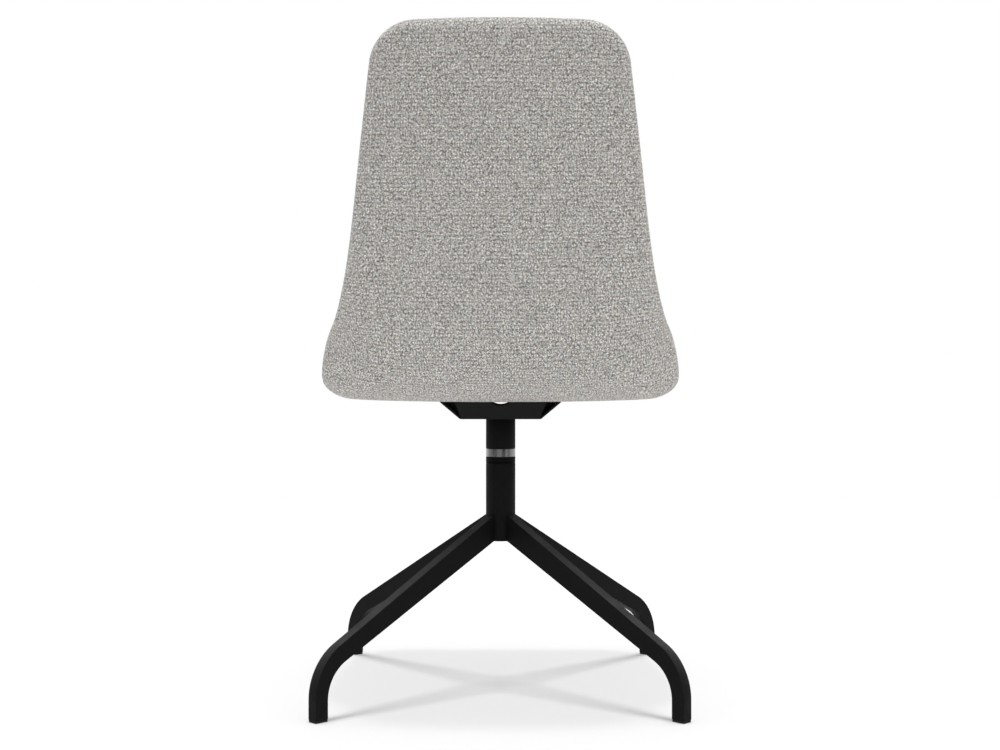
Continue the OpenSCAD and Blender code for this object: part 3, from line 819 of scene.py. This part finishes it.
@dataclass
class Pad:
    """One upholstered half of the shell: cover and foam on one side of the core, closed at the seam."""

    name: str
    form: ShellForm
    side: Side
    depth: float
    fill: float
    stands_for: tuple[str, ...]
    edge_r: float = 18 * MM
    seam_lift: float = 3 * MM
    layer_gap: float = 0.3 * MM
    cell: float = 5.5 * MM
    corner_rows: int = 12
    seam_pull: float = 1.6 * MM
    seam_reach: float = 1.3 * MM
    edge_shares: tuple[float, ...] = (0.86, 0.7, 0.54, 0.39, 0.26, 0.15, 0.08, 0.035, 0)
    bed_step: float = 1.5 * MM
    swell_cap: float = 2.5 * MM
    pressure: float = 4.0
    cloth_quality: int = 4
    settle_frames: int = 20
    hold_share: float = 1.1

    @property
    def seam(self) -> float:
        """Height of the seam."""
        return self.seam_lift + self.side.value * self.layer_gap / 2

    @property
    def bed(self) -> float:
        """Height of the face that lies on the core."""
        return self.side.value * (self.form.core / 2 + self.layer_gap)

    def build(self) -> bpy.types.Object:
        """Build the pad.

        Returns:
            The finished object.
        """
        skin = Skin()
        for vert in self._patch(skin, self._skin_height):
            vert[skin.run] = (vert.co.x, vert.co.y, 0.0)
        flat = skin.open_rim()
        out = self._outward(flat)
        self._edge_band(skin, flat, out)
        self._bed(skin, flat, out)
        skin.sort()
        places = self.form.place(np.array([vert.co[:] for vert in skin.bm.verts]))
        for vert, place in zip(skin.bm.verts, places):
            vert.co = Vector(place)
        if self.side is Side.REAR:
            bmesh.ops.reverse_faces(skin.bm, faces=skin.bm.faces[:])
        for face in skin.bm.faces:
            face.smooth = True
        skin.bm.verts.layers.int.remove(skin.number)
        pad = add_mesh_object(self.name, skin.bm)
        pad.data.materials.append(GREY_WEAVE.material)
        self._settle(pad)
        pad.data.attributes.remove(pad.data.attributes[HOLD_LAYER])
        return pad

    def _settle(self, pad: bpy.types.Object) -> None:
        """Blow the cover up a little as cloth that is held along its seam and its bed.

        Args:
            pad: The pad's object.
        """
        mesh = pad.data
        start = self._places(mesh)
        held = pad.vertex_groups.new(name="held")
        for point, hold in enumerate(mesh.attributes[HOLD_LAYER].data):
            held.add([point], hold.value, "REPLACE")
        cloth = pad.modifiers.new("cover", "CLOTH")
        cloth.collision_settings.use_collision = False
        cloth.point_cache.frame_start, cloth.point_cache.frame_end = 1, self.settle_frames
        rules = cloth.settings
        rules.vertex_group_mass = held.name
        rules.use_pressure = True
        rules.uniform_pressure_force = self.pressure
        rules.effector_weights.gravity = 0
        rules.quality = self.cloth_quality
        for frame_at in range(1, self.settle_frames + 1):
            bpy.context.scene.frame_set(frame_at)
        seen = pad.evaluated_get(bpy.context.evaluated_depsgraph_get())
        moved = self._places(seen.data) - start
        far = np.linalg.norm(moved, axis=1)
        capped = self.swell_cap * np.tanh(far / self.swell_cap)
        moved *= (capped / np.maximum(far, NO_LENGTH))[:, None]
        pad.modifiers.remove(cloth)
        pad.vertex_groups.remove(held)
        bpy.context.scene.frame_set(1)
        mesh.vertices.foreach_set("co", (start + moved).ravel())
        mesh.update()
        log.info("%s: cloth moved up to %.1f mm", pad.name, float(far.max()) / MM)

    @staticmethod
    def _places(mesh: bpy.types.Mesh) -> np.ndarray:
        """Return the places of a mesh's vertices, one a row."""
        found = np.empty(len(mesh.vertices) * 3)
        mesh.vertices.foreach_get("co", found)
        return found.reshape(-1, 3)

    def _crown(self, along: np.ndarray, reach: np.ndarray | float) -> np.ndarray:
        """Return the extra height of the skin at a distance from the edge. The rear has none."""
        if self.side is Side.REAR:
            return np.zeros(along.shape)
        return self.form.crown(along, reach)

    def _skin_height(self, along: np.ndarray, across: np.ndarray) -> np.ndarray:
        """Return the height of the outer skin inside its rounded edge."""
        return self.side.value * self.depth + self._crown(along, self.form.reach(along, across))

    def _bed_height(self, along: np.ndarray, across: np.ndarray) -> np.ndarray:
        """Return the height of the face that lies on the core, the same everywhere."""
        return np.full(across.shape, self.bed)

    def _patch(self, skin: Skin, height: Heights) -> list[bmesh.types.BMVert]:
        """Lay a grid over the flat pattern, inside the rounded edge.

        Args:
            skin: The mesh.
            height: Gives the grid's height from the runs along and across.

        Returns:
            The grid's vertices.
        """
        form, edge = self.form, self.edge_r
        turns = np.linspace(0, math.pi / 2, self.corner_rows + 1)[:-1]
        first = edge + (form.front_corner_r - edge) * (1 - np.cos(turns))
        last = form.run - edge - (form.top_corner_r - edge) * (1 - np.cos(turns))[::-1]
        low, high = form.front_corner_r, form.run - form.top_corner_r
        rows = np.concatenate([first, np.linspace(low, high, round((high - low) / self.cell)), last])
        columns = round(2 * max(form.half_widths) / self.cell)
        made = bmesh.ops.create_grid(skin.bm, x_segments=columns, y_segments=len(rows) - 1, size=1.0)["verts"]
        square = np.array([vert.co[:] for vert in made])
        along = rows[np.rint((square[:, 1] + 1) / 2 * (len(rows) - 1)).astype(int)]
        across = square[:, 0] * form.outline_half(along, edge)
        for vert, place in zip(made, np.stack([across, along, height(along, across)], axis=1)):
            vert.co = Vector(place)
        return made

    def _outward(self, flat: np.ndarray) -> np.ndarray:
        """Find the direction out of the rounded outline, in the flat pattern.

        Args:
            flat: Places on the patch's rim as runs across and along.

        Returns:
            Unit directions as runs across and along.
        """
        form = self.form
        across, along = flat[:, 0], flat[:, 1]
        full = form.section(along)[3]
        out = np.stack([np.sign(across), np.zeros(along.shape)], axis=1)
        for end, from_end, radius in ((-1, along, form.front_corner_r),
                                      (1, form.run - along, form.top_corner_r)):
            aside = np.maximum(np.abs(across) - full + radius, 0)
            ahead = np.maximum(radius - from_end, 0)
            length = np.maximum(np.hypot(aside, ahead), NO_LENGTH)
            turned = np.stack([np.sign(across) * aside / length, end * ahead / length], axis=1)
            out = np.where((ahead > MERGE)[:, None], turned, out)
        return out

    def _edge_band(self, skin: Skin, flat: np.ndarray, out: np.ndarray) -> None:
        """Roll the skin over from the patch to the seam, ring by ring.

        Args:
            skin: The mesh.
            flat: Places on the patch's rim.
            out: Directions out of the outline there.
        """
        full = self.side.value * self.depth
        for share in self.edge_shares:
            angle = share * math.pi / 2
            pull = self.seam_pull * math.exp(-((angle * self.edge_r / self.seam_reach) ** 2))
            reach = self.edge_r * (1 - math.cos(angle)) + pull
            grown = flat + out * (self.edge_r - reach)
            height = self.seam + (full - self.seam) * math.sin(angle) + self._crown(grown[:, 1], reach)
            unrolled = flat + out * (math.pi / 2 - angle) * self.edge_r
            skin.grow(grown, height, max(0.0, 1.0 - share / self.hold_share), unrolled)

    def _bed(self, skin: Skin, flat: np.ndarray, out: np.ndarray) -> None:
        """Close the pad along the core.

        Args:
            skin: The mesh.
            flat: Places on the patch's rim.
            out: Directions out of the outline there.
        """
        skin.grow(flat + out * self.bed_step, np.full(len(flat), self.seam), hold=1.0)
        skin.grow(flat, np.full(len(flat), self.bed), hold=1.0)
        inner = self._patch(skin, self._bed_height)
        for vert in inner:
            vert[skin.hold] = 1.0
        faces = list({face for vert in inner for face in vert.link_faces})
        bmesh.ops.reverse_faces(skin.bm, faces=faces)
        bmesh.ops.remove_doubles(skin.bm, verts=skin.bm.verts[:], dist=MERGE)


class Upholstery:
    """Seat and back: two pads that meet in a seam round the edge."""

    def plan(self) -> tuple[Pad, ...]:
        """Work the pads out from the frame.

        Returns:
            The rear pad and the front pad.
        """
        core_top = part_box("screw_spacers")[1].z + ShellForm.core
        form = ShellForm(core_top_z=core_top)
        return (
            Pad("rear_upholstery", form, Side.REAR, depth=15 * MM, fill=0.9, swell_cap=0.4 * MM,
                stands_for=("rear_cover", "rear_foam")),
            Pad("front_upholstery", form, Side.FRONT, depth=17 * MM, fill=0.85,
                stands_for=("front_cover", "front_foam")),
        )

    def build(self) -> None:
        """Build the pads, hang them on the seat body and hide the CAD pieces that they stand for."""
        for pad in self.plan():
            made = pad.build()
            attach(made, SEAT_BODY)
            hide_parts(*pad.stands_for)
            log.info("%s: %d faces", made.name, len(made.data.polygons))


@dataclass
class Hardware:
    """Carried CAD pieces and the finish that they wear."""

    edge_r: float = 0.4 * MM
    edge_steps: int = 3
    sharp_angle: float = math.radians(35)
    finishes: tuple[tuple[Finish, tuple[str, ...]], ...] = (
        (POWDER_COAT, ("base_column", "seat_tube", *LEGS)),
        # The seat bracket wears the powder coat with painted light.
        (PAINTED_LIGHT_COAT, ("seat_bracket",)),
        (GLIDE_PLASTIC, GLIDES),
        (BLACK_NYLON, ("column_cap", "lower_bush", "upper_bush", "screw_spacers")),
        (SCREW_STEEL, ("bracket_screws",)),
        (ZINC_STEEL, ("retaining_washer", "retaining_clip", "threaded_inserts")),
        (BARE_STEEL, ("spindle", "bearing_collar")),
        (BEECH_PLY, ("shell_core",)),
    )
    rounded: tuple[Finish, ...] = (POWDER_COAT, PAINTED_LIGHT_COAT)

    def dress(self) -> None:
        """Give each carried piece its finish, and round the edges of the coated ones."""
        for finish, names in self.finishes:
            for name in names:
                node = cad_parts[name]
                node.data.materials.clear()
                node.data.materials.append(finish.material)
                if finish in self.rounded:
                    self._round(node)
            log.info("%s: %s", finish.name, ", ".join(names))

    def _round(self, node: bpy.types.Object) -> None:
        """Round the sharp edges of a carried piece."""
        weld = node.modifiers.new("weld", "WELD")
        weld.merge_threshold = MERGE
        bevel = node.modifiers.new("edge", "BEVEL")
        bevel.width = self.edge_r
        bevel.segments = self.edge_steps
        bevel.limit_method = "ANGLE"
        bevel.angle_limit = self.sharp_angle
        bevel.harden_normals = True


@dataclass
class Studio:
    """Plain pale floor, soft light and the camera behind the chair.

    The walls' levels are pairs of degrees from behind the chair and the grey there, one row of pairs for
    soft light and one for what shiny pieces mirror.
    """

    eye: tuple[float, float, float] = (-0.008, 2.0162, 0.421)
    focal_px: float = 1480.0
    frame_px: float = 1000.0
    axis_px: float = 6.51
    sensor: float = 36.0
    floor_size: float = 6.0
    lamp_height: float = 3.0
    ambient: float = 1.0
    top_power: float = 0.8
    top_spread: float = math.radians(5)
    leg_power: float = 2.6
    leg_spread: float = math.radians(21)
    floor_bounce: float = 0.45
    floor_share: float = 0.45
    floor_glow: float = 0.125
    sky_level: float = 1.12
    mirror_sky: float = 3.2
    sky_start: float = 0.15
    sky_full: float = 0.7
    wall_levels: Levels = (
        (-180, 0.9), (-150, 0.85), (-110, 0.7), (-75, 0.6), (-55, 0.3), (-46, 0.12), (-32, 0.24), (0, 0.26),
        (12, 0.18), (24, 0.10), (44, 0.25), (60, 0.2), (80, 0.3), (110, 0.45), (150, 0.8), (180, 0.9))
    mirror_levels: Levels = (
        (-180, 0.9), (-150, 0.7), (-121, 0.56), (-98, 0.46), (-84, 0.36), (-70, 0.17), (-60, 0.18),
        (-50, 0.26), (-40, 0.14), (-31, 0.04), (-21, 0.04), (-2, 0.26), (18, 0.25), (30, 0.14), (39, 0.02),
        (52, 0.03), (66, 0.17), (85, 0.26), (107, 0.4), (121, 0.6), (150, 0.8), (180, 0.9))

    def build(self) -> None:
        """Build the camera, the lights and the floor."""
        self._camera()
        self._world()
        self._lamps()

    def _camera(self) -> None:
        """Place the camera level behind the chair."""
        data = bpy.data.cameras.new("camera")
        data.sensor_width = self.sensor
        data.lens = self.focal_px / self.frame_px * self.sensor
        data.shift_x = -self.axis_px / self.frame_px
        camera = add_object("camera", data)
        camera.location = self.eye
        camera.rotation_euler = (math.pi / 2, 0, math.pi)
        bpy.context.scene.camera = camera

    def _world(self) -> None:
        """Surround the chair with a pale studio that is darker behind the camera, on white."""
        world = bpy.data.worlds.new("studio")
        bpy.context.scene.world = world
        world.use_nodes = True
        sheet = NodeSheet(world.node_tree)
        way = sheet.add("SeparateXYZ", in0=sheet.add("TexCoord").outputs["Generated"])
        turn = sheet.math("ARCTAN2", way.outputs[0], way.outputs[1])
        place = sheet.remap(turn, -math.pi, math.pi)
        rays = sheet.add("LightPath").outputs
        mirrored = rays["Is Glossy Ray"]
        walls = sheet.mix(mirrored, self._ramp(sheet, place, self.wall_levels),
                          self._ramp(sheet, place, self.mirror_levels))
        sky = sheet.mix(mirrored, grey(self.sky_level), grey(self.mirror_sky))
        height = sheet.math("ABSOLUTE", way.outputs[2])
        around = sheet.mix(sheet.remap(height, self.sky_start, self.sky_full, smooth=True), walls, sky)
        seen = sheet.math("MAXIMUM", rays["Is Camera Ray"], rays["Is Transmission Ray"])
        soft = sheet.add("Background", Color=around, Strength=self.ambient)
        white = sheet.add("Background", Color=grey(1.0), Strength=1.0)
        mix = sheet.add("MixShader", in0=seen, in1=soft.outputs[0], in2=white.outputs[0])
        sheet.add("OutputWorld", Surface=mix.outputs[0])

    @staticmethod
    def _ramp(sheet: NodeSheet, place: object, levels: Levels) -> bpy.types.NodeSocket:
        """Add grey levels round the chair.

        Args:
            sheet: The world's sheet.
            place: The turn round the chair, from 0 to 1.
            levels: Degrees from behind the chair and the level there.

        Returns:
            The grey at that turn.
        """
        node = sheet.add("ValToRGB", in0=place)
        stops = node.color_ramp.elements
        stops.remove(stops[1])
        for number, (degrees, level) in enumerate(levels):
            at = (degrees + 180) / 360
            stop = stops[0] if number == 0 else stops.new(at)
            stop.position = at
            stop.color = (*grey(level), 1.0)
        return node.outputs[0]

    def _lamps(self) -> None:
        """Hang two lights straight over the chair: one for its shadow, one for the legs' own shadow."""
        self._overhead("top_light", self.top_power, self.top_spread)
        under = self._overhead("leg_light", self.leg_power, self.leg_spread)
        blockers = bpy.data.collections.new("leg_light_blockers")
        for name in ("base_column", *LEGS, *GLIDES):
            blockers.objects.link(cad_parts[name])
        under.light_linking.blocker_collection = blockers
        receivers = bpy.data.collections.new("leg_light_receivers")
        receivers.objects.link(self._floor())
        under.light_linking.receiver_collection = receivers

    def _overhead(self, name: str, power: float, spread: float) -> bpy.types.Object:
        """Add a distant light that shines straight down.

        Args:
            name: Its name.
            power: Its strength in watts per square metre.
            spread: The angle over which it is spread.

        Returns:
            The lamp.
        """
        data = bpy.data.lights.new(name, "SUN")
        data.energy = power
        data.angle = spread
        lamp = add_object(name, data)
        lamp.location = (0.0, 0.0, self.lamp_height)
        return lamp

    def _floor(self) -> bpy.types.Object:
        """Lay a white floor that keeps the chair's shadow and is clear from below.

        Returns:
            The floor.
        """
        bm = bmesh.new()
        bmesh.ops.create_grid(bm, x_segments=1, y_segments=1, size=self.floor_size / 2)
        floor = add_mesh_object("floor", bm)
        material = bpy.data.materials.new("floor_white")
        material.use_nodes = True
        sheet = NodeSheet(material.node_tree)
        rays = sheet.add("LightPath").outputs
        mirrored = sheet.math("MAXIMUM", rays["Is Glossy Ray"], rays["Is Transmission Ray"])
        seen = sheet.math("MAXIMUM", rays["Is Camera Ray"], mirrored)
        plain = sheet.add("BsdfDiffuse", Color=grey(self.floor_bounce))
        bright = sheet.add("BsdfDiffuse", Color=grey(self.floor_share))
        glow = sheet.add("Emission", Color=grey(1.0), Strength=self.floor_glow)
        lifted = sheet.add("AddShader", in0=bright.outputs[0], in1=glow.outputs[0])
        above = sheet.add("MixShader", in0=seen, in1=plain.outputs[0], in2=lifted.outputs[0])
        below = sheet.add("NewGeometry").outputs["Backfacing"]
        clear = sheet.add("BsdfTransparent")
        shown = sheet.add("MixShader", in0=below, in1=above.outputs[0], in2=clear.outputs[0])
        sheet.add("OutputMaterial", Surface=shown.outputs[0])
        floor.data.materials.append(material)
        return floor


def main() -> None:
    """Build the chair's looks round the frame."""
    logging.basicConfig(level=logging.INFO, format="%(name)s %(message)s")
    bpy.context.scene.view_settings.view_transform = "Standard"
    Studio().build()
    Hardware().dress()
    Upholstery().build()


if __name__ == "__main__":
    main()
